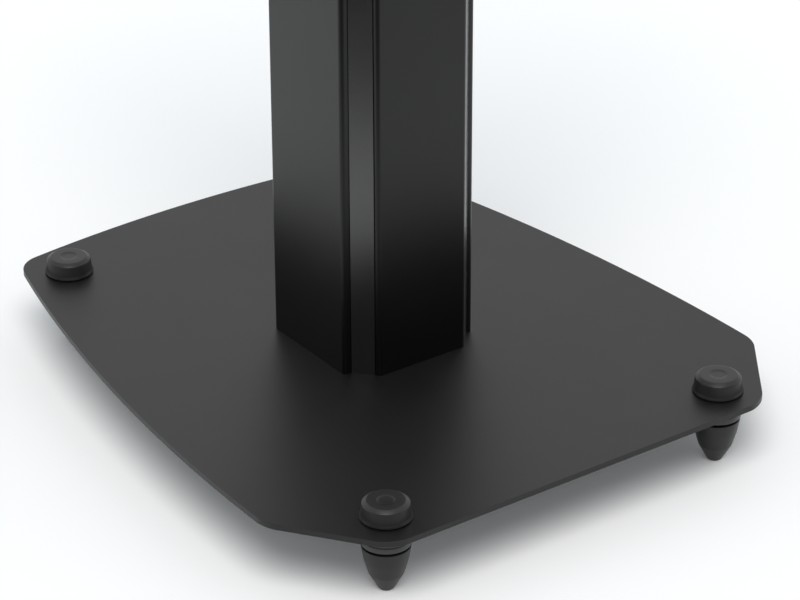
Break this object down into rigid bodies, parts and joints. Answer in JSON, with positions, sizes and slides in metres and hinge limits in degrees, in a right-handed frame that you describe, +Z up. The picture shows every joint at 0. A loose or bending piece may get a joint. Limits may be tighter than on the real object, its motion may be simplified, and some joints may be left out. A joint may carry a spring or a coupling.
{
  "type": "speaker stand",
  "caption": "Floor stand for a bookshelf loudspeaker: bowed steel base on screw spikes, eight-sided column with clipped-on face panels, and a small top plate.",
  "frame": {"origin": "on the floor under the middle of the base plate, with the feet screwed home", "axes": "+Z up, -Y towards the front, with the straight edge and clipped corners, +X to the right seen from the front"},
  "size_m": [0.3, 0.354, 0.6094],
  "materials": {
    "plate_coat": "fine satin black powder coat on sheet steel",
    "panel_coat": "smooth satin black coat on extruded aluminium",
    "core_coat": "fine-textured matt black coat on extruded aluminium",
    "collar_steel": "blackened steel, turned",
    "spike_steel": "zinc-plated steel, turned",
    "screw_steel": "black-oxide steel",
    "rubber": "matt black moulded rubber"
  },
  "bodies": {
    "stand": {"base_plate": "plate_coat", "top_plate": "plate_coat", "column_core": "core_coat", "front_panel": "panel_coat", "rear_panel": "panel_coat", "left_panel": "panel_coat", "right_panel": "panel_coat", "base_screws": "screw_steel", "base_washers": "screw_steel", "top_screws": "screw_steel", "foot_nuts": "screw_steel", "lower_grommet": "rubber", "upper_grommet": "rubber", "foot_collar_front_left": "collar_steel", "foot_collar_front_right": "collar_steel", "foot_collar_rear_left": "collar_steel", "foot_collar_rear_right": "collar_steel", "top_pad_front_left": "rubber", "top_pad_front_right": "rubber", "top_pad_rear_left": "rubber", "top_pad_rear_right": "rubber"},
    "foot_front_left": {"foot_boot_front_left": "rubber"},
    "spike_front_left": {"foot_spike_front_left": "spike_steel"},
    "cap_front_left": {"foot_cap_front_left": "rubber"},
    "foot_front_right": {"foot_boot_front_right": "rubber"},
    "spike_front_right": {"foot_spike_front_right": "spike_steel"},
    "cap_front_right": {"foot_cap_front_right": "rubber"},
    "foot_rear_left": {"foot_boot_rear_left": "rubber"},
    "spike_rear_left": {"foot_spike_rear_left": "spike_steel"},
    "cap_rear_left": {"foot_cap_rear_left": "rubber"},
    "foot_rear_right": {"foot_boot_rear_right": "rubber"},
    "spike_rear_right": {"foot_spike_rear_right": "spike_steel"},
    "cap_rear_right": {"foot_cap_rear_right": "rubber"}
  },
  "joints": [
    {"name": "foot_height_front_left", "type": "slide", "parent": "stand", "child": "foot_front_left", "axis": [0, 0, -1], "range_m": [0, 0.008]},
    {"name": "spike_turn_front_left", "type": "hinge", "parent": "foot_front_left", "child": "spike_front_left", "pos_m": [-0.1011, -0.1554, 0], "axis": [0, 0, -1], "range_deg": [0, 2304]},
    {"name": "cap_lift_front_left", "type": "slide", "parent": "stand", "child": "cap_front_left", "axis": [0, 0, 1], "range_m": [0, 0.015]},
    {"name": "foot_height_front_right", "type": "slide", "parent": "stand", "child": "foot_front_right", "axis": [0, 0, -1], "range_m": [0, 0.008]},
    {"name": "spike_turn_front_right", "type": "hinge", "parent": "foot_front_right", "child": "spike_front_right", "pos_m": [0.1011, -0.1554, 0], "axis": [0, 0, -1], "range_deg": [0, 2304]},
    {"name": "cap_lift_front_right", "type": "slide", "parent": "stand", "child": "cap_front_right", "axis": [0, 0, 1], "range_m": [0, 0.015]},
    {"name": "foot_height_rear_left", "type": "slide", "parent": "stand", "child": "foot_rear_left", "axis": [0, 0, -1], "range_m": [0, 0.008]},
    {"name": "spike_turn_rear_left", "type": "hinge", "parent": "foot_rear_left", "child": "spike_rear_left", "pos_m": [-0.0937, 0.1449, 0], "axis": [0, 0, -1], "range_deg": [0, 2304]},
    {"name": "cap_lift_rear_left", "type": "slide", "parent": "stand", "child": "cap_rear_left", "axis": [0, 0, 1], "range_m": [0, 0.015]},
    {"name": "foot_height_rear_right", "type": "slide", "parent": "stand", "child": "foot_rear_right", "axis": [0, 0, -1], "range_m": [0, 0.008]},
    {"name": "spike_turn_rear_right", "type": "hinge", "parent": "foot_rear_right", "child": "spike_rear_right", "pos_m": [0.0937, 0.1449, 0], "axis": [0, 0, -1], "range_deg": [0, 2304]},
    {"name": "cap_lift_rear_right", "type": "slide", "parent": "stand", "child": "cap_rear_right", "axis": [0, 0, 1], "range_m": [0, 0.015]}
  ],
  "couplings": [
    {"joint": "spike_turn_front_left", "follows": "foot_height_front_left", "rad_per_m": 5026.5},
    {"joint": "spike_turn_front_right", "follows": "foot_height_front_right", "rad_per_m": 5026.5},
    {"joint": "spike_turn_rear_left", "follows": "foot_height_rear_left", "rad_per_m": 5026.5},
    {"joint": "spike_turn_rear_right", "follows": "foot_height_rear_right", "rad_per_m": 5026.5}
  ]
}
